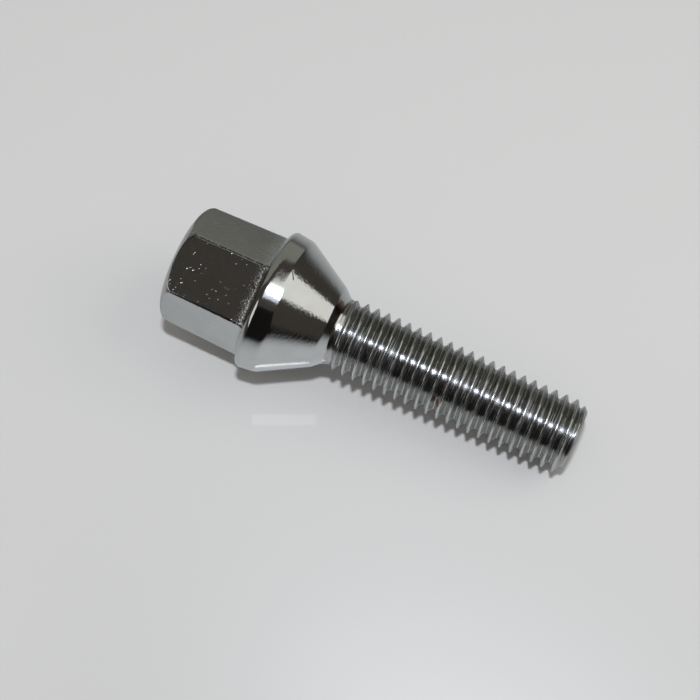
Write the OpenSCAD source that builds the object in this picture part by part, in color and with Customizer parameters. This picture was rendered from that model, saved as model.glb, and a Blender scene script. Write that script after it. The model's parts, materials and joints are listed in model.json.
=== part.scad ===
// Wheel bolt with a hexagon head, a conical seat and a rolled metric thread.
// One solid, forged and thread rolled from a single bar.
// It stands on the end of its head, and +Z runs up the thread.

/* [Hexagon head] */
// Width across the flats, at half the height of the hexagon
hex_af = 16.7; // [16:0.1:19]
// Height of the hexagon, from the end of the head to the back of the collar
hex_len = 14.4; // [12:0.1:18]
// Draft of each flat, wider towards the collar, in degrees
hex_draft = 1.5; // [0:0.1:2]
// How far the corners are worn back from a sharp edge
corner_cut = 0.04; // [0.02:0.01:0.3]
// Radius of the crown that the end of the head curves back with
crown_round = 6.1; // [4:0.1:8]
// Slope that the crown has reached at its edge, in degrees
crown_slope = 34; // [20:1:45]
// Radius that rounds the edge of the crown over to the side
crown_edge = 1.4; // [0.5:0.1:2]
// Radius of the hollow fillet between the flats and the collar
foot_fillet = 1; // [0.4:0.1:1.2]
// Radius of the same hollow at the corners
corner_fillet = 0.5; // [0.3:0.05:0.5]

/* [Collar and seat] */
// How far the collar stands out past the corners of the hexagon
collar_lip = 1.43; // [1.4:0.01:3]
// From the back of the collar to where the seat would meet its full diameter
collar_len = 3; // [2.8:0.1:5]
// Draft of the collar's rim, narrower towards the seat, in degrees
collar_draft = 7; // [0:0.5:10]
// Radius of the rim's edge on the side of the hexagon
rim_back_round = 1; // [0.5:0.1:1]
// Radius that blends the rim into the seat
rim_front_round = 2; // [1:0.1:3]
// Full angle of the conical seat, in degrees
seat_angle = 60; // [50:1:90]
// How far the small end of the seat stands out from the thread
seat_lip = 0.83; // [0.6:0.01:1.5]
// Slope of the step from the seat down to the shank, in degrees from the axis
step_angle = 42; // [35:1:60]
// Radius that blends the seat into that step
step_round = 1.2; // [0.4:0.1:1.5]
// Radius of the hollow where that step meets the neck
neck_fillet = 0.6; // [0.3:0.1:1]
// Plain neck left between that hollow and the thread
neck_len = 0.1; // [0.1:0.1:3]
// How far the plain neck stands out from the pitch line of the thread
neck_over = 0.15; // [0.03:0.01:0.2]

/* [Thread] */
// Major diameter as rolled, at the low end of what a 12 mm thread may have
thread_d = 11.7; // [10:0.1:14]
// Pitch, the rise in one turn of the single start
pitch = 1.75; // [1.25:0.25:2]
// From the small end of the seat to the end of the thread
shank_len = 41.2; // [25:0.1:60]
// Length over which the root sinks from the neck to its full depth
root_runout = 2; // [1:0.1:6]
// Length over which the crest fills out from the pitch line to its full height
crest_runout = 4.4; // [1:0.1:6]
// How far below the neck's end, inside the step, the crest starts to fill out
crest_lead = 1.7; // [0:0.1:2]
// How far the chamfer on the thread's end reaches in from the crest
tip_chamfer = 1.2; // [0.5:0.05:2]
// Slope of that chamfer, in degrees from the axis
tip_angle = 45; // [30:1:60]
// Angle round the axis at which the crest runs out through the end
exit_angle = 257; // [0:1:359]

/* [Hidden] */
$fn = 96;

// Steps in the arcs of the outlines, and facets in one turn of the thread
arc_steps = 6;
foot_steps = 4;
turn_steps = 36;

// How far a cutting shape reaches past what it cuts, and how far a foot is sunk in
cut_past = 1;
sink = 0.5;

// Half width across the flats and radius over the worn corners, at a height
function half_af(z) = hex_af / 2 + (z - hex_len / 2) * tan(hex_draft);
function corner_r(z) = half_af(z) / cos(30) - corner_cut;

// Height of the crown's edge and of the side above it, and radius of the flat inside
crown_z = crown_round * (1 - cos(crown_slope));
crown_top = crown_z + crown_edge * cos(crown_slope);
crown_r = corner_r(crown_top) - crown_edge;
flat_r = crown_r - (crown_round - crown_edge) * sin(crown_slope);

// Heights and radii of the head, seat and shank, up from the end of the head
collar_z = hex_len;
seat_z = collar_z + collar_len;
collar_r = half_af(hex_len) / cos(30) + collar_lip;
thread_r = thread_d / 2;
seat_half = seat_angle / 2;
seat_end_r = thread_r + seat_lip;
seat_end_z = seat_z + (collar_r - seat_end_r) / tan(seat_half);
overall_len = seat_end_z + shank_len;

// Thread form: 60 degree flanks, crest flat of an eighth of the pitch, and the
// shares of the sharp triangle's height that the rolled root and pitch line lie at
flank_half = 30;
sharp_h = pitch / 2 / tan(flank_half);
root_r = thread_r - sharp_h * 17 / 24;
pitch_r = thread_r - sharp_h * 3 / 8;
crest_half = pitch / 16;
flank_rise = (thread_r - root_r) * tan(flank_half);

// The bar was rolled at about the pitch diameter, so that is the size of the neck
neck_r = pitch_r + neck_over;
neck_z = seat_end_z + (seat_end_r - neck_r) / tan(step_angle);
neck_end_z = neck_z + neck_fillet * tan(step_angle / 2) + neck_len;

// Points of an arc about a centre, from one angle to another
function arc(centre, r, from, to, steps = arc_steps) =
    [for (i = [0:steps]) let (a = from + (to - from) * i / steps)
        centre + r * [cos(a), sin(a)]];

// Direction of a line at an angle, and the point where two lines cross
function along(a) = [cos(a), sin(a)];
function cross_at(p, a, q, b) =
    p + along(a) * ((q[0] - p[0]) * sin(b) - (q[1] - p[1]) * cos(b)) / sin(b - a);

// Arc that rounds the corner of an outline where direction a turns into b
function corner_arc(corner, a, b, r) =
    let (turn = b - a,
         side = turn > 0 ? 1 : -1,
         back = r * tan(abs(turn) / 2),
         centre = corner - along(a) * back + side * r * along(a + 90))
    arc(centre, r, a - side * 90, b - side * 90);

// How far a hollow fillet of radius r flares out at a depth into it
function flare(r, h) = r - sqrt(r * r - h * h);

// Closed hexagonal loft through rows of [height, half width across the flats]
module hex_loft(rows) {
    last = len(rows) - 1;
    points = [for (row = rows, side = [0:5])
        let (r = row[1] / cos(30))
        [r * cos(60 * side), r * sin(60 * side), row[0]]];
    walls = [for (k = [0:last - 1], side = [0:5])
        let (next = (side + 1) % 6)
        [6 * k + side, 6 * k + 6 + side, 6 * k + 6 + next, 6 * k + next]];
    low = [for (side = [0:5]) side];
    high = [for (side = [5:-1:0]) 6 * last + side];
    polyhedron(points, concat([low], walls, [high]));
}

// Drafted hexagon with its fillet, whose foot is buried in the collar
module hexagon() {
    flat_top = hex_len - foot_fillet;
    foot = [for (i = [1:foot_steps]) let (h = 0.95 * foot_fillet * i / foot_steps)
        [flat_top + h, half_af(flat_top + h) + flare(foot_fillet, h)]];
    buried = [hex_len + cut_past, collar_r];
    hex_loft(concat([[-cut_past, half_af(-cut_past)], [flat_top, half_af(flat_top)]],
                    foot, [buried]));
}

// Turned outline round the hexagon: crowned end, worn corners and hollow foot
module head_outline() {
    crown = arc([flat_r, crown_round], crown_round, -90, crown_slope - 90);
    edge = arc([crown_r, crown_top], crown_edge, crown_slope - 90, 0);
    edge_top = hex_len - corner_fillet;
    foot = [for (i = [1:arc_steps]) let (h = corner_fillet * i / arc_steps)
        [corner_r(edge_top + h) + flare(corner_fillet, h), edge_top + h]];
    rotate_extrude()
        polygon(concat([[0, 0]], crown, [for (i = [1:arc_steps]) edge[i]],
                       [[corner_r(edge_top), edge_top]], foot,
                       [[foot[arc_steps - 1][0], hex_len + sink], [0, hex_len + sink]]));
}

// Collar, conical seat, step and plain neck, turned in one
module collar_and_seat() {
    rim_dir = 90 + collar_draft;
    seat_dir = 90 + seat_half;
    step_dir = 90 + step_angle;
    // The rounded back edge is where the rim is widest
    back_corner = [collar_r + rim_back_round * (tan(rim_dir / 2) - 1), collar_z];
    front_corner = cross_at(back_corner, rim_dir, [collar_r, seat_z], seat_dir);
    step_corner = [seat_end_r, seat_end_z];
    neck_corner = [neck_r, neck_z];
    rotate_extrude()
        polygon(concat(
            [[0, collar_z]],
            corner_arc(back_corner, 0, rim_dir, rim_back_round),
            corner_arc(front_corner, rim_dir, seat_dir, rim_front_round),
            corner_arc(step_corner, seat_dir, step_dir, step_round),
            corner_arc(neck_corner, step_dir, 90, neck_fillet),
            [[neck_r, neck_end_z], [0, neck_end_z]]));
}

// Radius of the thread at a height: it grows from the pitch line to its own
function grown(r, z) =
    let (is_crest = r > pitch_r,
         length = is_crest ? crest_runout : root_runout,
         start_z = neck_end_z - (is_crest ? crest_lead : 0),
         share = max(0, min(1, (z - start_z) / length)))
    pitch_r + (r - pitch_r) * share;

// Rolled thread: one helical strip whose rows follow the crest and the root
module thread_rod() {
    crest_at_end = overall_len - pitch * exit_angle / 360;
    turns_down = ceil((crest_at_end - neck_z) / pitch) + 1;
    first_crest = crest_at_end - pitch * turns_down;
    section = [[-crest_half, thread_r], [crest_half, thread_r],
               [crest_half + flank_rise, root_r], [pitch - crest_half - flank_rise, root_r]];
    rows = len(section);
    columns = turn_steps * (turns_down + 2);
    function at(c, j) =
        let (a = 360 * c / turn_steps,
             z = first_crest + pitch * c / turn_steps + section[j][0],
             r = grown(section[j][1], z))
        [r * cos(a), r * sin(a), z];
    function id(c, j) =
        j == rows ? id(c + turn_steps, 0)
        : c <= columns ? c * rows + j
        : (columns + 1) * rows + c - columns - 1;
    points = concat(
        [for (c = [0:columns], j = [0:rows - 1]) at(c, j)],
        [for (c = [columns + 1:columns + turn_steps]) at(c, 0)],
        [[0, 0, first_crest + pitch / 2],
         [0, 0, first_crest + pitch * (columns / turn_steps + 0.5)]]);
    low_hub = len(points) - 2;
    high_hub = len(points) - 1;
    skin = [for (c = [0:columns - 1], j = [0:rows - 1], half = [0, 1])
        half == 0 ? [id(c, j), id(c, j + 1), id(c + 1, j + 1)]
                  : [id(c, j), id(c + 1, j + 1), id(c + 1, j)]];
    low_fan = [for (c = [0:turn_steps - 1]) [low_hub, id(c, 0), id(c + 1, 0)]];
    low_step = [for (j = [0:rows - 1]) [low_hub, id(0, j + 1), id(0, j)]];
    high_fan = [for (c = [columns:columns + turn_steps - 1]) [high_hub, id(c + 1, 0), id(c, 0)]];
    high_step = [for (j = [0:rows - 1]) [high_hub, id(columns, j), id(columns, j + 1)]];
    polyhedron(points, concat(skin, low_fan, low_step, high_fan, high_step));
}

// Turned blank that the thread is cut off by: flat end inside a chamfer
module thread_blank() {
    tip_r = thread_r - tip_chamfer;
    outer_r = thread_r + cut_past;
    chamfer_z = overall_len - (outer_r - tip_r) / tan(tip_angle);
    rotate_extrude()
        polygon([[0, collar_z], [outer_r, collar_z], [outer_r, chamfer_z],
                 [tip_r, overall_len], [0, overall_len]]);
}

module wheel_bolt() {
    color([0.76, 0.77, 0.78]) {
        intersection() {
            hexagon();
            head_outline();
        }
        collar_and_seat();
        intersection() {
            thread_rod();
            thread_blank();
        }
    }
}

wheel_bolt();
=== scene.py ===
"""A chrome wheel bolt that leans its collar and its thread's end on a pale, glossy table.

The bolt keeps the upright frame of the part, +Z up its thread. The table is the plane that
the bolt lies on in the photograph, so here it stands behind the bolt, and the camera and its
flash look at it from the front.
"""
import json
import math

import bpy
import numpy as np
from mathutils import Matrix, Vector


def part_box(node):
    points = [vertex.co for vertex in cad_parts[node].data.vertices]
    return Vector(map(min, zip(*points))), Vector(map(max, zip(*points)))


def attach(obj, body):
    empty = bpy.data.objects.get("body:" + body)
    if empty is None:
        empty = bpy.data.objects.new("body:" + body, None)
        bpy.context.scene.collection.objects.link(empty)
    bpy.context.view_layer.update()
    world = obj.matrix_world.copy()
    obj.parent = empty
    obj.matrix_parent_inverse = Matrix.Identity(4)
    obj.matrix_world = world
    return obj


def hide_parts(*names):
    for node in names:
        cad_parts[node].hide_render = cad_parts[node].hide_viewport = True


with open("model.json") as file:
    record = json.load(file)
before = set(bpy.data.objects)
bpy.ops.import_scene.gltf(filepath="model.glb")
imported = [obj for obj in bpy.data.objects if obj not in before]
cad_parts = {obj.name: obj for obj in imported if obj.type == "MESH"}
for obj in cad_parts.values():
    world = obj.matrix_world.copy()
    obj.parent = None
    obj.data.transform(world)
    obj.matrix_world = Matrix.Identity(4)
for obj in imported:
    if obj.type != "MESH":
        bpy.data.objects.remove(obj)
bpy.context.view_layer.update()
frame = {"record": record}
MM = 0.001
NODE = "wheel_bolt"

# Sizes of the bolt in mm. What the frame holds is read from it.
low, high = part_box(NODE)
MOUNTS = {mount["name"]: mount for mount in frame["record"]["mounts"]}
LENGTH = high[2] / MM
COLLAR_R = (high[1] - low[1]) / 2 / MM
THREAD_R = MOUNTS["thread"]["dims"]["r_mm"]
HEX_LEN = 14.4
HEX_HALF = 8.35
HEX_DRAFT = math.radians(1.5)
CORNER_CUT = 0.04
CROWN_ROUND = 6.1
CROWN_SLOPE = math.radians(34)
CROWN_EDGE = 1.4
FOOT_FILLET = 1.0
CORNER_FILLET = 0.5
COLLAR_LEN = 3.0
RIM_DRAFT = math.radians(7)
RIM_BACK_ROUND = 1.0
RIM_FRONT_ROUND = 2.0
SEAT_SLOPE = math.radians(30)
SEAT_END_R = THREAD_R + 0.83
STEP_SLOPE = math.radians(42)
STEP_ROUND = 1.2
NECK_FILLET = 0.6
NECK_LEN = 0.1
NECK_OVER = 0.15
PITCH = 1.75
ROOT_RUNOUT = 2.0
CREST_LEAD = 1.7
CREST_RUNOUT = 4.4
TIP_R = THREAD_R - 1.2
EXIT_TURN = 257 / 360

# Roundings of edges that the part's source keeps sharp
CORNER_SOFT = 0.05
NECK_FADE = 0.4
NECK_SOFT = 0.05
CREST_SOFT = 0.12
ROOT_SOFT = 0.26
TIP_SOFT = 0.15

# The hexagon's edges are worn: dark in places along the edge, and nicked up to a distance from it
EDGE_WORN = 0.2
EDGE_REACH = 0.6

# Thread form, worked out from the sharp triangle of its 60 degree flanks
FLANK_SLOPE = math.tan(math.radians(30))
SHARP_H = PITCH / 2 / FLANK_SLOPE
ROOT_R = THREAD_R - SHARP_H * 17 / 24
PITCH_R = THREAD_R - SHARP_H * 3 / 8
CREST_HALF = PITCH / 16

SEAT_Z = HEX_LEN + COLLAR_LEN
SEAT_END_Z = SEAT_Z + (COLLAR_R - SEAT_END_R) / math.tan(SEAT_SLOPE)
NECK_R = PITCH_R + NECK_OVER
NECK_Z = SEAT_END_Z + (SEAT_END_R - NECK_R) / math.tan(STEP_SLOPE)
NECK_END_Z = NECK_Z + NECK_FILLET * math.tan(STEP_SLOPE / 2) + NECK_LEN

# Vertices round the bolt on each side of the hexagon, rows up its crown and its sides, and
# rows in one turn of thread
PER_SIDE = 26
CROWN_ROWS = 16
SIDE_ROWS = 16
FOOT_ROWS = 12
THREAD_ROWS = 18
# How strongly the vertices crowd towards the corners, and the rows towards crest and root
CORNER_CROWD = 0.35
THREAD_CROWD = 0.62


def smooth_min(a, b, soft):
    """The smaller of two values, with the crease between them rounded over."""
    share = np.clip(0.5 + 0.5 * (b - a) / soft, 0, 1)
    return b * (1 - share) + a * share - soft * share * (1 - share)


def half_af(z):
    """Half the width across the flats at a height."""
    return HEX_HALF + (z - HEX_LEN / 2) * math.tan(HEX_DRAFT)


def corner_r(z):
    """Radius over the worn corners of the hexagon at a height."""
    return half_af(z) / math.cos(math.pi / 6) - CORNER_CUT


def flare(radius, z):
    """How far the hollow fillet at the foot of the hexagon stands out at a height."""
    depth = np.clip(z - (HEX_LEN - radius), 0, radius)
    return radius - np.sqrt(radius ** 2 - depth ** 2)


def arc(centre, radius, start, end, steps):
    """Points (r, z) of an arc between two angles."""
    angles = np.linspace(start, end, steps + 1)
    return [(centre[0] + radius * math.cos(a), centre[1] + radius * math.sin(a)) for a in angles]


def corner_arc(corner, before, after, radius, steps):
    """Arc that rounds an outline's corner, where one direction turns into another."""
    side = math.copysign(1, after - before)
    back = radius * math.tan(abs(after - before) / 2)
    centre = (corner[0] - math.cos(before) * back - side * radius * math.sin(before),
              corner[1] - math.sin(before) * back + side * radius * math.cos(before))
    return arc(centre, radius, before - side * math.pi / 2, after - side * math.pi / 2, steps)


def between(start, end, steps):
    """Points that part a straight line into equal steps, without its two ends."""
    shares = np.arange(1, steps) / steps
    return [(start[0] + (end[0] - start[0]) * s, start[1] + (end[1] - start[1]) * s) for s in shares]


def collar_outline():
    """Turned outline from the back of the collar to the neck, as (r, z) points."""
    rim_dir = math.pi / 2 + RIM_DRAFT
    seat_dir = math.pi / 2 + SEAT_SLOPE
    step_dir = math.pi / 2 + STEP_SLOPE
    # The rounded back edge is where the rim is widest
    back_r = COLLAR_R + RIM_BACK_ROUND * (math.tan(rim_dir / 2) - 1)
    gap = COLLAR_R - back_r + COLLAR_LEN * math.tan(RIM_DRAFT)
    rise = gap / (math.tan(SEAT_SLOPE) - math.tan(RIM_DRAFT))
    front = (COLLAR_R - rise * math.tan(SEAT_SLOPE), SEAT_Z + rise)
    rim_back = corner_arc((back_r, HEX_LEN), 0, rim_dir, RIM_BACK_ROUND, 9)
    rim_front = corner_arc(front, rim_dir, seat_dir, RIM_FRONT_ROUND, 7)
    seat_end = corner_arc((SEAT_END_R, SEAT_END_Z), seat_dir, step_dir, STEP_ROUND, 5)
    neck = corner_arc((NECK_R, NECK_Z), step_dir, math.pi / 2, NECK_FILLET, 8)
    return (rim_back + between(rim_back[-1], rim_front[0], 5) + rim_front,
            rim_front[-1:] + seat_end + neck)


def thread_form(angle, z):
    """Radius of the full thread at an angle (in turns) and a height."""
    turns_off = (z - LENGTH) / PITCH - angle + EXIT_TURN
    off = np.abs(turns_off - np.round(turns_off)) * PITCH
    flank = THREAD_R - (off - CREST_HALF) / FLANK_SLOPE
    return -smooth_min(-smooth_min(THREAD_R, flank, CREST_SOFT), -ROOT_R, ROOT_SOFT)


def shank_surface(angle, s):
    """Radius and height of the seat, thread and end face, at an angle (in turns) and a length s.

    Up to the end of the bolt s is the height. Past it, s runs inwards over the end face.
    """
    lower = np.array(collar_outline()[1])
    form = thread_form(angle, s)
    lead = np.where(form > PITCH_R, CREST_LEAD, 0)
    runout = np.where(form > PITCH_R, CREST_RUNOUT, ROOT_RUNOUT)
    grown = PITCH_R + (form - PITCH_R) * np.clip((s - NECK_END_Z + lead) / runout, 0, 1)
    # The thread grows out of the step, and the neck fades away under it
    turned = np.interp(s, lower[:, 1], lower[:, 0])
    faded = NECK_R - NECK_FADE * (s - NECK_END_Z)
    outline = np.where(s < NECK_END_Z, turned, faded)
    body = -smooth_min(-outline, -grown, NECK_SOFT)
    radius = smooth_min(body, TIP_R + LENGTH - s, TIP_SOFT)
    return radius, smooth_min(s, LENGTH, TIP_SOFT)


class Skin:
    """Points and faces of one closed skin round the bolt's axis."""

    def __init__(self):
        step = np.arange(PER_SIDE) / PER_SIDE * 2 - 1
        # The vertices stand closer together towards the hexagon's corners
        side = (1 + (1 + CORNER_CROWD) * step - CORNER_CROWD * step ** 3) / 12
        self.turns = np.concatenate([side + k / 6 for k in range(6)])
        self.points = []
        self.faces = []
        self.count = 0

    def add(self, turn, r, z):
        """Adds points given by turn, radius and height, and returns their numbers."""
        turn, r, z = np.broadcast_arrays(turn, r, z)
        angle = turn * 2 * math.pi
        self.points.append(np.stack([r * np.cos(angle), r * np.sin(angle), z], -1).reshape(-1, 3))
        ids = self.count + np.arange(r.size).reshape(r.shape)
        self.count += r.size
        return ids

    def ring(self, r, z):
        """One closed level ring. The last number repeats the first."""
        ids = self.add(self.turns, r, z)
        return np.append(ids, ids[0])

    def cover(self, ids):
        """Faces over a grid of numbers, with columns round the axis and rows along it."""
        for a, b, c, d in np.stack([ids[:-1, :-1], ids[1:, :-1], ids[1:, 1:], ids[:-1, 1:]],
                                   -1).reshape(-1, 4).tolist():
            corners = list(dict.fromkeys((a, b, c, d)))
            if len(corners) > 2:
                self.faces.append(corners)


CROWN_Z = CROWN_ROUND * (1 - math.cos(CROWN_SLOPE))
CROWN_TOP = CROWN_Z + CROWN_EDGE * math.cos(CROWN_SLOPE)
EDGE_R = corner_r(CROWN_TOP) - CROWN_EDGE
FLAT_R = EDGE_R - (CROWN_ROUND - CROWN_EDGE) * math.sin(CROWN_SLOPE)


def crown(slope):
    """Radius and height of the head's crowned end, where it has reached a slope."""
    inside = slope < CROWN_SLOPE
    r = np.where(inside, FLAT_R + CROWN_ROUND * np.sin(slope), EDGE_R + CROWN_EDGE * np.sin(slope))
    z = np.where(inside, CROWN_ROUND * (1 - np.cos(slope)), CROWN_TOP - CROWN_EDGE * np.cos(slope))
    return r, z


def crown_radius(z):
    """Radius of the crowned end at a height."""
    inner = np.sqrt(CROWN_ROUND ** 2 - (CROWN_ROUND - np.minimum(z, CROWN_ROUND)) ** 2)
    outer = np.sqrt(CROWN_EDGE ** 2 - np.clip(CROWN_TOP - z, 0, CROWN_EDGE) ** 2)
    return np.where(z < CROWN_Z, FLAT_R + inner, EDGE_R + outer)


def hexagon_radius(skin, z, outer):
    """Radius all round the hexagon at its heights, where a turned outline cuts its corners."""
    off = skin.turns * 2 * math.pi % (math.pi / 3) - math.pi / 6
    flats = (half_af(z) + flare(FOOT_FILLET, z)) / np.cos(off)
    return smooth_min(flats, outer, CORNER_SOFT)


def crease_slope(skin):
    """Slope of the crown all round, where it runs out into the flats and corners."""
    off = skin.turns * 2 * math.pi % (math.pi / 3) - math.pi / 6
    least = np.zeros_like(off)
    most = np.full_like(off, math.pi / 2)
    for _ in range(30):
        middle = (least + most) / 2
        r, z = crown(middle)
        inside = r < half_af(z) / np.cos(off)
        least = np.where(inside, middle, least)
        most = np.where(inside, most, middle)
    return least


def cover_head(skin):
    """The head from the middle of its end to the collar's front edge. Returns its last ring."""
    rows = [skin.ring(FLAT_R * k / 4, 0.0) for k in range(5)]
    rows[0][:] = rows[0][0]
    # The rows bend to follow the crease between the crown and the sides, and crowd towards it
    crease = crease_slope(skin)
    for k in range(1, CROWN_ROWS + 1):
        r, z = crown(crease * (1 - (1 - k / CROWN_ROWS) ** 1.5))
        rows.append(skin.ring(hexagon_radius(skin, z, r), z))
    crease_z = crown(crease)[1]
    foot_z = HEX_LEN - FOOT_FILLET
    heights = [crease_z + (foot_z - crease_z) * (k / SIDE_ROWS) ** 2 for k in range(1, SIDE_ROWS + 1)]
    heights += [np.full_like(crease_z, foot_z + FOOT_FILLET * math.sin(math.pi / 2 * k / FOOT_ROWS))
                for k in range(1, FOOT_ROWS)]
    for z in heights:
        outer = np.where(z < CROWN_TOP, crown_radius(z), corner_r(z))
        radius = hexagon_radius(skin, z, outer + flare(CORNER_FILLET, z))
        rows.append(skin.ring(radius, z))
    collar = collar_outline()[0]
    for share in (0.2, 0.4, 0.6, 0.8):
        rows.append(skin.ring(radius + (collar[0][0] - radius) * share,
                              z + (HEX_LEN - z) * min(1, share * 2)))
    rows += [skin.ring(r, z) for r, z in collar]
    skin.cover(np.array(rows).T)
    return rows[-1], collar[-1]


def cover_shank(skin, ring, ring_at):
    """Seat, neck, thread and end face, as one helical strip between two level rings."""
    part = np.arange(THREAD_ROWS) / THREAD_ROWS
    # The rows stand closer together round the crest and round the root
    part = part - THREAD_CROWD * np.sin(4 * math.pi * part) / (4 * math.pi)
    crest = LENGTH - PITCH * EXIT_TURN
    start = crest - PITCH * math.ceil((crest - SEAT_END_Z) / PITCH + 1)
    turns = math.ceil((LENGTH - start) / PITCH)
    side = len(skin.turns)
    columns = turns * side
    round_turns = np.append(skin.turns, 1.0)

    # Level rings up the cone, the last of them where the strip begins
    cone = between(ring_at, (float(shank_surface(0, start)[0]), start), 9)
    start_ring = skin.ring(*shank_surface(0, start))
    rows = [ring] + [skin.ring(r, z) for r, z in cone] + [start_ring]
    skin.cover(np.array(rows).T)

    # The strip: each column holds one pitch, and the column a turn later closes it
    turn = np.concatenate([k + skin.turns for k in range(turns + 1)])
    s = start + PITCH * turn[:columns + 1, None] + PITCH * part
    ids = skin.add(turn[:columns + 1, None], *shank_surface(turn[:columns + 1, None], s))
    ids[0, 0] = start_ring[0]
    last_turn = np.append(turn[columns + 1:], turns + 1.0)
    edge = skin.add(last_turn, *shank_surface(last_turn, start + PITCH * last_turn))
    first_row = np.append(ids[:, 0], edge)
    strip = np.column_stack([ids, first_row[side:]])
    skin.cover(strip)

    # A wedge from the level ring up to the strip's slanting edge, and one at the other end
    shares = np.append(part, 1.0)
    s = start + PITCH * round_turns[:, None] * shares
    low_wedge = skin.add(round_turns[:, None], *shank_surface(round_turns[:, None], s))
    low_wedge[:, 0] = start_ring
    low_wedge[:, -1] = first_row[:side + 1]
    low_wedge[0, :] = start_ring[0]
    low_wedge[-1, :] = strip[0, :]
    skin.cover(low_wedge)
    top = start + PITCH * (turns + 1)
    s = top - PITCH * (1 - round_turns[:, None]) * (1 - shares)
    high_wedge = skin.add(round_turns[:, None], *shank_surface(round_turns[:, None], s))
    high_wedge[:, 0] = first_row[columns:columns + side + 1]
    high_wedge[0, :] = strip[-1, :]
    high_wedge[-1, :] = first_row[-1]
    high_wedge[:, -1] = np.append(high_wedge[:-1, -1], high_wedge[0, -1])
    skin.cover(high_wedge)

    # The rest of the end face
    rim_r = float(shank_surface(0, top)[0])
    rows = [high_wedge[:, -1]] + [skin.ring(rim_r * k / 4, LENGTH) for k in (3, 2, 1, 0)]
    rows[-1][:] = rows[-1][0]
    skin.cover(np.array(rows).T)


def edge_gap(points):
    """Distance from the hexagon's corners and from the crease round its end, up to EDGE_REACH."""
    x, y, z = points.T
    r = np.hypot(x, y)
    off = np.arctan2(y, x) % (math.pi / 3) - math.pi / 6
    flat = half_af(z) / np.cos(off) - r
    on_corner = r * (math.pi / 6 - np.abs(off))
    crown_gap = np.hypot(r - EDGE_R, np.minimum(z - CROWN_TOP, 0)) - CROWN_EDGE
    on_crease = np.hypot(flat, np.where(z < CROWN_TOP, crown_gap, EDGE_REACH))
    gap = np.minimum(on_corner, on_crease)
    return np.where(z < HEX_LEN, np.minimum(gap, EDGE_REACH), EDGE_REACH)


def make_bolt():
    """The whole bolt as one closed mesh."""
    skin = Skin()
    ring, ring_at = cover_head(skin)
    cover_shank(skin, ring, ring_at)
    points = np.concatenate(skin.points)
    # Some numbers are stood in for by their neighbours' and aren't used
    used = np.unique([n for corners in skin.faces for n in corners])
    number = np.zeros(len(points), int)
    number[used] = np.arange(len(used))
    mesh = bpy.data.meshes.new("chrome_bolt")
    mesh.from_pydata(points[used] * MM, [], [[int(number[n]) for n in corners]
                                             for corners in skin.faces])
    mesh.shade_smooth()
    mesh.attributes.new("edge_gap", "FLOAT", "POINT").data.foreach_set("value", edge_gap(points[used]))
    bolt = bpy.data.objects.new("chrome_bolt", mesh)
    bpy.context.scene.collection.objects.link(bolt)
    return bolt


bolt = make_bolt()
bolt_points = np.array([vertex.co for vertex in bolt.data.vertices])

# The photograph's camera, seen from the bolt: where it stands, and where it sees the head's end
CAMERA_AZIMUTH = math.radians(266.771)
CAMERA_LIFT = math.radians(4.103)
AXIS_SLOPE = math.radians(24.632)
LENS_PX = 2175.4
FRAME_PX = 700
HEAD_END_PX = (179.49, 259.17)
HEAD_DEPTH = 0.33489
SENSOR_MM = 36

back = Vector((math.cos(CAMERA_LIFT) * math.cos(CAMERA_AZIMUTH),
               math.cos(CAMERA_LIFT) * math.sin(CAMERA_AZIMUTH), math.sin(CAMERA_LIFT)))
axis_seen = (Vector((0, 0, 1)) - back * back.z).normalized()
across_seen = back.cross(axis_seen)
right = axis_seen * math.cos(AXIS_SLOPE) + across_seen * math.sin(AXIS_SLOPE)
up = across_seen * math.cos(AXIS_SLOPE) - axis_seen * math.sin(AXIS_SLOPE)
px = HEAD_DEPTH / LENS_PX
camera_at = (back * HEAD_DEPTH - right * (HEAD_END_PX[0] - FRAME_PX / 2) * px
             + up * (HEAD_END_PX[1] - FRAME_PX / 2) * px)


def place(obj, at, x, y, z):
    """Puts an object at a point with its own axes along three directions."""
    obj.matrix_world = Matrix.Translation(at) @ Matrix((x, y, z)).transposed().to_4x4()


def add_camera():
    """The photograph's camera."""
    data = bpy.data.cameras.new("camera")
    data.sensor_width = SENSOR_MM
    data.lens = LENS_PX / FRAME_PX * SENSOR_MM
    data.clip_start = 0.01
    camera = bpy.data.objects.new("camera", data)
    bpy.context.scene.collection.objects.link(camera)
    place(camera, camera_at, right, up, back)
    bpy.context.scene.camera = camera


add_camera()

# The table touches the collar's rim and the thread's end, on the side turned away from the camera.
# The last full crest stands this far below the end.
LAST_CREST = 1.5
LEAN = math.atan2(COLLAR_R - THREAD_R, LENGTH - LAST_CREST - HEX_LEN)


def table_normal():
    """The table's normal: square to the picture's horizontal, with the bolt's lean to it."""
    flat = math.hypot(right.x, right.y)
    heading = math.atan2(right.y, right.x)
    turned = math.acos(math.tan(LEAN) * right.z / flat)
    choices = []
    for angle in (heading + turned, heading - turned):
        choices.append(Vector((math.cos(LEAN) * math.cos(angle),
                               math.cos(LEAN) * math.sin(angle), -math.sin(LEAN))))
    return max(choices, key=lambda n: n.dot(back))


table_up = table_normal()
table_away = table_up.cross(right)
table_gap = min(bolt_points @ np.array(table_up))


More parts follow.
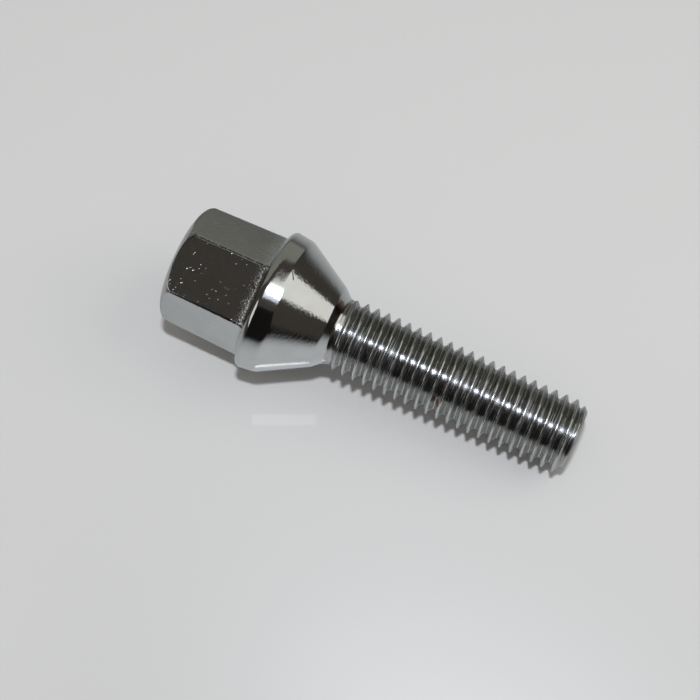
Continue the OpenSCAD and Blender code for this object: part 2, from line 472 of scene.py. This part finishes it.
class Shader:
    """The node tree of a new material or of the world, with a short call for each node."""

    def __init__(self, owner):
        self.owner = owner
        owner.use_nodes = True
        self.nodes = owner.node_tree.nodes
        self.links = owner.node_tree.links
        self.nodes.clear()

    def add(self, kind, inputs=None, **settings):
        """A node with its settings, and with inputs that are values or other nodes' outputs."""
        node = self.nodes.new("ShaderNode" + kind)
        for key, value in settings.items():
            setattr(node, key, value)
        for key, value in (inputs or {}).items():
            if isinstance(value, bpy.types.NodeSocket):
                self.links.new(value, node.inputs[key])
            else:
                node.inputs[key].default_value = value
        return node

    def math(self, operation, *values):
        """The result of an operation on values or other nodes' outputs."""
        return self.add("Math", dict(enumerate(values)), operation=operation).outputs[0]

    def ramp(self, value, start, end, low=0.0, high=1.0):
        """A value that eases from low to high while another one goes from start to end."""
        return self.add("MapRange", {"Value": value, "From Min": start, "From Max": end,
                                     "To Min": low, "To Max": high},
                        interpolation_type="SMOOTHSTEP").outputs[0]

    def blend(self, share, colour_a, colour_b):
        """The first colour, replaced by a share of the second."""
        return self.add("Mix", {0: share, 6: colour_a, 7: colour_b}, data_type="RGBA").outputs[2]

    def noise(self, vector, size, detail=2.0):
        """Soft noise from 0 to 1 with features of a size in mm."""
        return self.add("TexNoise", {"Vector": vector, "Scale": 1 / (size * MM),
                                     "Detail": detail}).outputs[0]

    def stretched(self, along, across):
        """The place on the bolt for noise that is drawn out round the axis, both sizes in mm."""
        return self.add("VectorMath", {0: self.place(), 1: (across / along, across / along, 1)},
                        operation="MULTIPLY").outputs[0]

    def place(self):
        """The place on the object, in metres."""
        return self.add("TexCoord").outputs["Object"]

    def finish(self, surface):
        """Leads the shader to the output and returns what it belongs to."""
        kind = "OutputWorld" if isinstance(self.owner, bpy.types.World) else "OutputMaterial"
        self.add(kind, {"Surface": surface.outputs[0]})
        return self.owner


PLATE = (0.61, 0.615, 0.605, 1)
PLATE_DULL = (0.57, 0.57, 0.555, 1)
GROOVE_DULL = (0.5, 0.5, 0.485, 1)
PIT_DARK = (0.06, 0.057, 0.052, 1)
NECK_BROWN = (0.3, 0.21, 0.15, 1)
STAIN_BROWN = (0.13, 0.075, 0.04, 1)

# The nick in the collar's front edge, from end to end, the brown stain in the thread and the rust
# at the neck, as turn (in degrees), radius and height in mm
NICK = ((238.0, 11.0, 17.8), (243.3, 10.7, 18.4))
NICK_WIDTH = 0.24
NICK_DEPTH = 0.12
STAIN_AT = (310, 5.5, 45.3)
STAIN_SIZE = (2.4, 0.9)
RUST_AT = (232, 6.0, 26.1)
RUST_SIZE = (3.2, 1.6)

# Pits as spacing and radius in mm and the share of places that have one: wide and small ones in
# patches of the hexagon, and small ones along its edges
WIDE_PITS = (1.3, 0.17, 0.4)
SMALL_PITS = (0.5, 0.1, 0.4)
EDGE_PITS = (0.5, 0.15, 0.4)
PIT_DEPTH = 0.05
PIT_ROUGHNESS = 0.12
PATCH_SIZE = 3.2
# Levels of the noise between which it eases: into a patch of pits, into a worn place on an edge,
# into a scuffed line, into duller plate, and across the range of a roughness
PATCH_EASE = (0.35, 0.55)
WORN_EASE = (0.62, 0.54)
SCUFF_EASE = (0.57, 0.65)
DULL_EASE = (0.35, 0.75)
ROUGH_EASE = (0.3, 0.7)
# Size and depth of the forged grain and of the fine grain, in mm, and the height that the forged
# grain is coarse from, and its share elsewhere
GRAIN = (0.26, 0.09)
FINE_GRAIN = (0.24, 0.006)
GRAIN_FROM = HEX_LEN * 0.78
GRAIN_LEAST = 0.05
# Length, width and depth of the seat's turning marks, in mm
TURNED_MARK = (0.6, 0.2)
TURNED_DEPTH = 0.03
# Size of the worn places on the edges, and how dark they are on the crown and on the corners
WORN_SIZE = 0.45
WORN_LEVELS = (0.15, 0.75)
HEAD_ROUGHNESS = (0.09, 0.12)
# Length and width of the thread's rolled streaks and of its scuffed lines, in mm
STREAK = (4.0, 0.09)
STREAK_DEPTH = 0.016
SCUFF = (7.0, 0.2)
SCUFF_ROUGHNESS = 0.35
THREAD_ROUGHNESS = (0.17, 0.24)
STAIN_ROUGHNESS = 0.3
# How far below the crests the thread's colour begins to dull, and is dull
GROOVE_FROM = 0.03
GROOVE_TO = 0.25
# Over this height the thread's own chrome begins, in mm
THREAD_FROM = NECK_END_Z - 0.2


def on_bolt(turn, radius, height):
    """The point at a turn in degrees, a radius and a height in mm."""
    angle = math.radians(turn)
    return Vector((radius * math.cos(angle), radius * math.sin(angle), height)) * MM


def near_line(graph, start, end, width):
    """1 on the line between two points and 0 at half its width from it."""
    run = end - start
    off = graph.add("VectorMath", {0: graph.place(), 1: start}, operation="SUBTRACT").outputs[0]
    along = graph.add("VectorMath", {0: off, 1: run / run.length_squared},
                      operation="DOT_PRODUCT").outputs["Value"]
    inside = graph.math("MINIMUM", graph.math("MAXIMUM", along, 0.0), 1.0)
    foot = graph.add("VectorMath", {0: run, "Scale": inside}, operation="SCALE").outputs[0]
    gap = graph.add("VectorMath", {0: off, 1: foot}, operation="DISTANCE").outputs["Value"]
    return graph.ramp(gap, width / 2 * MM, 0.0)


def height_of(graph):
    """The height over the head's end, in mm."""
    split = graph.add("SeparateXYZ", {0: graph.place()})
    return graph.math("DIVIDE", split.outputs["Z"], MM)


def pits(graph, spacing, radius, share):
    """1 in the middle of small scattered pits, on a share of their places, and 0 beside them."""
    cells = graph.add("TexVoronoi", {"Vector": graph.place(), "Scale": 1 / (spacing * MM)})
    chosen = graph.add("SeparateColor", {0: cells.outputs["Color"]}).outputs[0]
    dot = graph.ramp(cells.outputs["Distance"], radius / spacing, 0.0)
    return graph.math("MULTIPLY", dot, graph.math("LESS_THAN", chosen, share))


def spot(graph, at, size):
    """1 inside a ragged spot round a point, given its width and its height in mm, and 0 outside."""
    off = graph.add("VectorMath", {0: graph.place(), 1: on_bolt(*at)}, operation="SUBTRACT").outputs[0]
    half = [length * MM / 2 for length in (size[0], size[0], size[1])]
    scaled = graph.add("VectorMath", {0: off, 1: half}, operation="DIVIDE").outputs[0]
    reach = graph.add("VectorMath", {0: scaled}, operation="LENGTH").outputs["Value"]
    ragged = graph.math("MULTIPLY_ADD", graph.noise(graph.place(), 0.5, 3.0), 1.2, -0.6)
    return graph.ramp(graph.math("ADD", reach, ragged), 1.15, 0.6)


def head_chrome():
    """Chrome over the forged head and the turned seat: pits, grain, turning marks and a nick."""
    graph = Shader(bpy.data.materials.new("chrome"))
    place = graph.place()
    height = height_of(graph)
    on_hexagon = graph.ramp(height, HEX_LEN + 0.2, HEX_LEN)
    cloud = graph.noise(place, 4.0)

    # Pits gather in patches of the hexagon and along its edges
    gap = graph.add("Attribute", attribute_name="edge_gap").outputs["Fac"]
    patch = graph.ramp(graph.noise(place, PATCH_SIZE), *PATCH_EASE)
    pitted = graph.math("MULTIPLY", graph.math("MAXIMUM", pits(graph, *WIDE_PITS),
                                               pits(graph, *SMALL_PITS)), patch)
    nicked = graph.math("MULTIPLY", pits(graph, *EDGE_PITS), graph.ramp(gap, EDGE_REACH, EDGE_WORN))
    pitted = graph.math("MULTIPLY", graph.math("MAXIMUM", pitted, nicked), on_hexagon)
    # The grain is coarse where the hexagon's sides run out towards the collar
    to_foot = graph.ramp(height, GRAIN_FROM, HEX_LEN)
    coarse = graph.math("MULTIPLY", graph.math("MULTIPLY_ADD", to_foot, 1 - GRAIN_LEAST, GRAIN_LEAST),
                        on_hexagon)
    grain = graph.math("MULTIPLY", graph.noise(place, GRAIN[0], 1.0), coarse)
    fine = graph.noise(place, FINE_GRAIN[0], 1.0)
    on_seat = graph.math("MULTIPLY", graph.ramp(height, SEAT_Z + 0.3, SEAT_Z + 1.6),
                         graph.ramp(height, SEAT_END_Z, SEAT_END_Z - 0.8))
    turned = graph.noise(graph.stretched(*TURNED_MARK), TURNED_MARK[1])
    turned = graph.math("MULTIPLY", turned, on_seat)
    nick = near_line(graph, on_bolt(*NICK[0]), on_bolt(*NICK[1]), NICK_WIDTH)

    grained = graph.add("Bump", {"Distance": GRAIN[1] * MM, "Height": grain})
    fined = graph.add("Bump", {"Distance": FINE_GRAIN[1] * MM, "Height": fine,
                               "Normal": grained.outputs[0]})
    marks = graph.add("Bump", {"Distance": TURNED_DEPTH * MM, "Height": turned,
                               "Normal": fined.outputs[0]})
    nick_cut = graph.math("MULTIPLY", nick, NICK_DEPTH / PIT_DEPTH)
    holes = graph.add("Bump", {"Distance": PIT_DEPTH * MM, "Normal": marks.outputs[0],
                               "Height": graph.math("MAXIMUM", pitted, nick_cut)}, invert=True)

    colour = graph.blend(graph.ramp(cloud, *DULL_EASE), PLATE, PLATE_DULL)
    worn = graph.math("MULTIPLY", graph.ramp(gap, EDGE_WORN, EDGE_WORN / 2),
                      graph.ramp(graph.noise(place, WORN_SIZE), *WORN_EASE))
    worn = graph.math("MULTIPLY", worn, graph.ramp(height, CROWN_TOP / 2, CROWN_TOP, *WORN_LEVELS))
    dark = graph.math("MAXIMUM", nick, worn)
    colour = graph.blend(dark, colour, PIT_DARK)
    colour = graph.blend(spot(graph, RUST_AT, RUST_SIZE), colour, NECK_BROWN)
    roughness = graph.ramp(graph.noise(place, 0.5), *ROUGH_EASE, *HEAD_ROUGHNESS)
    roughness = graph.math("ADD", roughness, graph.math("MULTIPLY", pitted, PIT_ROUGHNESS))
    surface = graph.add("BsdfPrincipled", {"Base Color": colour, "Metallic": 1.0,
                                           "Roughness": roughness, "Normal": holes.outputs[0]})
    return graph.finish(surface)


def thread_chrome():
    """Chrome over the rolled thread: duller, streaked along its turns, with a stain and some rust."""
    graph = Shader(bpy.data.materials.new("chrome_thread"))
    place = graph.place()
    streaks = graph.noise(graph.stretched(*STREAK), STREAK[1], 3.0)
    cloud = graph.noise(place, 2.5, 3.0)
    scuffed = graph.ramp(graph.noise(graph.stretched(*SCUFF), SCUFF[1], 1.0), *SCUFF_EASE)

    # The colour is duller below the crests and down in the grooves
    split = graph.add("SeparateXYZ", {0: place})
    flat = graph.add("CombineXYZ", {0: split.outputs["X"], 1: split.outputs["Y"]}).outputs[0]
    radius = graph.add("VectorMath", {0: flat}, operation="LENGTH").outputs["Value"]
    groove = graph.ramp(radius, (THREAD_R - GROOVE_FROM) * MM, (THREAD_R - GROOVE_TO) * MM)
    stain = spot(graph, STAIN_AT, STAIN_SIZE)
    rust = spot(graph, RUST_AT, RUST_SIZE)
    rolled = graph.add("Bump", {"Distance": STREAK_DEPTH * MM, "Height": streaks})
    colour = graph.blend(graph.ramp(cloud, *DULL_EASE), PLATE, PLATE_DULL)
    colour = graph.blend(groove, colour, GROOVE_DULL)
    colour = graph.blend(rust, colour, NECK_BROWN)
    colour = graph.blend(stain, colour, STAIN_BROWN)
    roughness = graph.ramp(streaks, *ROUGH_EASE, *THREAD_ROUGHNESS)
    roughness = graph.math("MULTIPLY_ADD", scuffed, SCUFF_ROUGHNESS, roughness)
    roughness = graph.math("ADD", roughness, graph.math("MULTIPLY", stain, STAIN_ROUGHNESS))
    tangent = graph.add("Tangent", direction_type="RADIAL", axis="Z")
    surface = graph.add("BsdfPrincipled", {
        "Base Color": colour, "Metallic": graph.math("MULTIPLY_ADD", stain, -0.8, 1.0),
        "Roughness": roughness, "Normal": rolled.outputs[0], "Anisotropic": 0.85,
        "Anisotropic Rotation": 0.25, "Specular Tint": (0.7, 0.7, 0.7, 1), "Tangent": tangent.outputs[0]})
    return graph.finish(surface)


bolt.data.materials.append(head_chrome())
bolt.data.materials.append(thread_chrome())
for face in bolt.data.polygons:
    face.material_index = int(face.center.z > THREAD_FROM * MM)
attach(bolt, "root")
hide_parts(NODE)


# The table's colour, its painted shade towards the front, the one it has in reflections, and how a painted
# pool of light dims that round a place in front of
# the bolt: the half-way distance, the power of its fall, and the level kept on the far side
TABLE_COLOUR = (0.64, 0.64, 0.65, 1)
TABLE_FRONT_SHADE = (0.585, 0.585, 0.595, 1)
POOL_COLOUR = (0.62, 0.64, 0.668)
POOL_FRONT = -0.03
POOL_REACH = 0.1
POOL_FALL = -1.0
FAR_LEVEL = 0.36
FAR_FROM = 0.1
FAR_TO = 0.25
TABLE_HALF = 3.0
TABLE_ROUGHNESS = 0.35
# Where the table's colour begins to ease into painted shade towards its front, which evens out the flash's
# brighter light there, and where it has got there
FRONT_FROM = 0.02
FRONT_TO = -0.06


def add_table():
    """The table, which is only there from its front."""
    mesh = bpy.data.meshes.new("table")
    mesh.from_pydata([(x * TABLE_HALF, y * TABLE_HALF, 0) for x, y in ((-1, -1), (1, -1), (1, 1), (-1, 1))],
                     [], [(0, 1, 2, 3)])
    table = bpy.data.objects.new("table", mesh)
    bpy.context.scene.collection.objects.link(table)
    centre = Vector((0, 0, LENGTH * MM / 2))
    foot = centre - table_up * (centre.dot(table_up) - table_gap)
    place(table, foot, right, table_away, table_up)
    graph = Shader(bpy.data.materials.new("table"))
    # A painted pool of light: in the bolt's reflections only the part of the table near the bolt is bright
    place_on_table = graph.place()
    away = graph.add("VectorMath", {0: place_on_table, 1: (0, POOL_FRONT, 0)},
                     operation="DISTANCE").outputs["Value"]
    reach = graph.math("DIVIDE", away, POOL_REACH)
    painted_pool = graph.math("POWER", graph.math("MULTIPLY_ADD", reach, reach, 1.0), POOL_FALL)
    split = graph.add("SeparateXYZ", {0: place_on_table})
    far = graph.add("MapRange", {"Value": split.outputs["Y"], "From Min": FAR_FROM,
                                 "From Max": FAR_TO, "To Max": FAR_LEVEL}).outputs[0]
    dimmed = graph.add("VectorMath", {0: POOL_COLOUR, "Scale": graph.math("MAXIMUM", painted_pool, far)},
                       operation="SCALE").outputs[0]
    mirrored = graph.add("LightPath").outputs["Is Glossy Ray"]
    # Painted shade: the table's colour darkens towards its front, where the flash lights it more
    shade_evened = graph.blend(graph.ramp(split.outputs["Y"], FRONT_FROM, FRONT_TO), TABLE_COLOUR,
                         TABLE_FRONT_SHADE)
    colour = graph.blend(mirrored, shade_evened, dimmed)
    surface = graph.add("BsdfPrincipled", {"Base Color": colour, "Roughness": TABLE_ROUGHNESS})
    clear = graph.add("BsdfTransparent")
    side = graph.add("NewGeometry").outputs["Backfacing"]
    one_sided = graph.add("MixShader", {0: side, 1: surface.outputs[0], 2: clear.outputs[0]})
    mesh.materials.append(graph.finish(one_sided))


add_table()


def towards(azimuth, elevation):
    """Direction over the table: azimuth 0 is the picture's right and 90 is away from the camera."""
    a = math.radians(azimuth)
    e = math.radians(elevation)
    return (right * math.cos(a) * math.cos(e) + table_away * math.sin(a) * math.cos(e)
            + table_up * math.sin(e))


def glow(name, colour, deep_share):
    """A material that shines evenly with one colour, and with a share of it in a mirror's mirror."""
    graph = Shader(bpy.data.materials.new(name))
    # The depth is 1 where a mirror shows the card, and more where another mirror shows that
    deep = graph.math("GREATER_THAN", graph.add("LightPath").outputs["Glossy Depth"], 1.5)
    strength = graph.math("MULTIPLY_ADD", deep, deep_share - 1.0, 1.0)
    return graph.finish(graph.add("Emission", {"Color": (*colour, 1), "Strength": strength}))


def add_card(name, distance, corners, colour, height=LENGTH / 2, deep_share=1.0):
    """A studio card that only reflections see, with its corners at directions over the table.

    The directions and the distance are taken from the bolt's axis at a height in mm.
    """
    middle = Vector((0, 0, height * MM))
    points = [middle + towards(*corner) * distance for corner in corners]
    mesh = bpy.data.meshes.new(name)
    mesh.from_pydata(points, [], [tuple(range(len(points)))])
    card = bpy.data.objects.new(name, mesh)
    bpy.context.scene.collection.objects.link(card)
    mesh.materials.append(glow(name, colour, deep_share))
    only_in_reflections(card)


def only_in_reflections(obj):
    """Hides an object from everything but glossy rays."""
    obj.visible_camera = False
    obj.visible_diffuse = False
    obj.visible_transmission = False
    obj.visible_volume_scatter = False
    obj.visible_shadow = False


# The dome's radius, its parts round and up, and the elevation of its lower edge
ROOM_COLOUR = (0.056, 0.05, 0.043)
ROOM_RADIUS = 1.5
ROOM_STEPS = (48, 16)
ROOM_LOW = -12


def add_room():
    """The dim room over the table: a dome of one colour that only reflections see."""
    around, up_steps = ROOM_STEPS
    middle = Vector((0, 0, LENGTH * MM / 2))
    points = [middle + towards(360 * k / around, ROOM_LOW + (90 - ROOM_LOW) * j / up_steps) * ROOM_RADIUS
              for j in range(up_steps) for k in range(around)]
    points.append(middle + table_up * ROOM_RADIUS)
    faces = [(j * around + k, j * around + (k + 1) % around,
              (j + 1) * around + (k + 1) % around, (j + 1) * around + k)
             for j in range(up_steps - 1) for k in range(around)]
    rim = (up_steps - 1) * around
    faces += [(rim + k, rim + (k + 1) % around, len(points) - 1) for k in range(around)]
    mesh = bpy.data.meshes.new("room")
    mesh.from_pydata(points, [], faces)
    room = bpy.data.objects.new("room", mesh)
    bpy.context.scene.collection.objects.link(room)
    mesh.materials.append(glow("room", ROOM_COLOUR, 1.0))
    only_in_reflections(room)


add_room()
# The cards, nearer ones in front. Their corners are (azimuth, elevation) over the table.
add_card("window", 1.0, [(-26, 13), (8, 14), (16, 32), (38, 46), (42, 58), (28, 70), (0, 80),
                         (-60, 80), (-52, 70), (-36, 46), (-28, 28)], (1.0, 1.0, 0.95), deep_share=0.15)
add_card("near_left", 0.09, [(226, 18), (190, 18), (186, 38), (191, 49), (220, 50)],
         (0.95, 0.96, 0.92), SEAT_Z, deep_share=0.1)
add_card("far_wall", 1.1, [(150, -8), (57, -8), (55, 30), (60, 62), (100, 66), (150, 62)],
         (0.24, 0.245, 0.21), deep_share=0.6)
add_card("dark_right", 0.95, [(12, -8), (-38, -8), (-38, 9), (12, 9)], (0.015, 0.014, 0.013))
add_card("dark_front", 1.1, [(298, -8), (228, -8), (214, 50), (240, 52), (268, 50), (288, 44)],
         (0.009, 0.0085, 0.008))
add_card("ceiling", 1.05, [(200, 73), (250, 66), (300, 70), (320, 80), (180, 86)], (0.36, 0.35, 0.38))

# A strip of the table under the seat that light from the seat brightens, for reflections only.
# Its corners are places on the table: to the picture's right, and away from the camera.
GLINT = ((0.011, -0.0222), (0.021, -0.0222), (0.021, -0.0204), (0.011, -0.0204))
GLINT_COLOUR = (1.35, 1.38, 1.42)
GLINT_LIFT = 0.0003


def add_glint():
    """The brightened strip, a little over the table."""
    points = [right * x + table_away * y + table_up * (table_gap + GLINT_LIFT) for x, y in GLINT]
    mesh = bpy.data.meshes.new("glint")
    mesh.from_pydata(points, [], [(0, 1, 2, 3)])
    mesh.materials.append(glow("glint", GLINT_COLOUR, 1.0))
    glint = bpy.data.objects.new("glint", mesh)
    bpy.context.scene.collection.objects.link(glint)
    only_in_reflections(glint)


add_glint()

# The camera's own flash, as a direction and a distance in metres, and a window's soft light. Each
# lamp has its two sides in metres and its power in watts.
FLASH_AT = (270, 79.8)
FLASH_DISTANCE = 0.6
FLASH_SIZE = (0.045, 0.03)
FLASH_POWER = 2.3
FLASH_WHITE = (0.935, 0.965, 1)
WINDOW_LIGHT_AT = (2, 42)
WINDOW_LIGHT_DISTANCE = 0.9
WINDOW_LIGHT_SIZE = (0.7, 0.6)
WINDOW_LIGHT_POWER = 1.6
WINDOW_LIGHT_COLOUR = (1, 0.97, 0.86)
WORLD_LIGHT = (0.34, 0.328, 0.3, 1)


def add_lamp(name, direction, distance, size, energy, colour, height=LENGTH / 2):
    """An area lamp that faces the bolt's axis at a height, with its first side along it."""
    data = bpy.data.lights.new(name, "AREA")
    data.shape = "RECTANGLE"
    data.size, data.size_y = size
    data.energy = energy
    data.color = colour
    lamp = bpy.data.objects.new(name, data)
    lamp.visible_camera = False
    bpy.context.scene.collection.objects.link(lamp)
    aim = towards(*direction)
    side = (Vector((0, 0, 1)) - aim * aim.z).normalized()
    place(lamp, Vector((0, 0, height * MM)) + aim * distance, side, aim.cross(side), aim)
    return lamp


flash = add_lamp("flash", FLASH_AT, FLASH_DISTANCE, FLASH_SIZE, FLASH_POWER, FLASH_WHITE)
flash.visible_glossy = False
soft = add_lamp("window_light", WINDOW_LIGHT_AT, WINDOW_LIGHT_DISTANCE, WINDOW_LIGHT_SIZE,
                WINDOW_LIGHT_POWER, WINDOW_LIGHT_COLOUR)
soft.visible_glossy = False
# What reflections see of the flash: its face, and a bright strip in a bluish glow along the thread,
# at a distance in metres, with its length and the height of its middle in mm
FLASH_BLUE = (0.8, 0.86, 1)
FACE_SIZE = (0.06, 0.06)
FACE_POWER = 0.045
STRIP_DISTANCE = 0.12
STRIP_LENGTH = 70.0
STRIP_FROM = SEAT_Z + 1
STRIP_HEIGHT = STRIP_FROM + STRIP_LENGTH / 2
mirrored = [add_lamp("flash_face", FLASH_AT, FLASH_DISTANCE, FACE_SIZE, FACE_POWER, FLASH_BLUE)]
for name, width, power in (("flash_strip", 0.019, 0.056), ("flash_glow", 0.052, 0.0125)):
    mirrored.append(add_lamp(name, FLASH_AT, STRIP_DISTANCE, (STRIP_LENGTH * MM, width), power,
                             FLASH_BLUE, STRIP_HEIGHT))
for lamp in mirrored:
    lamp.visible_diffuse = False


def add_world():
    """Pale to the camera and in the reflections, dimmer and warmer as a light."""
    world = bpy.data.worlds.new("world")
    bpy.context.scene.world = world
    graph = Shader(world)
    path = graph.add("LightPath").outputs
    seen = graph.math("MAXIMUM", path["Is Camera Ray"], path["Is Glossy Ray"])
    colour = graph.blend(seen, WORLD_LIGHT, TABLE_COLOUR)
    graph.finish(graph.add("Background", {"Color": colour}))


add_world()
bpy.context.scene.view_settings.view_transform = "Standard"

bpy.context.view_layer.update()
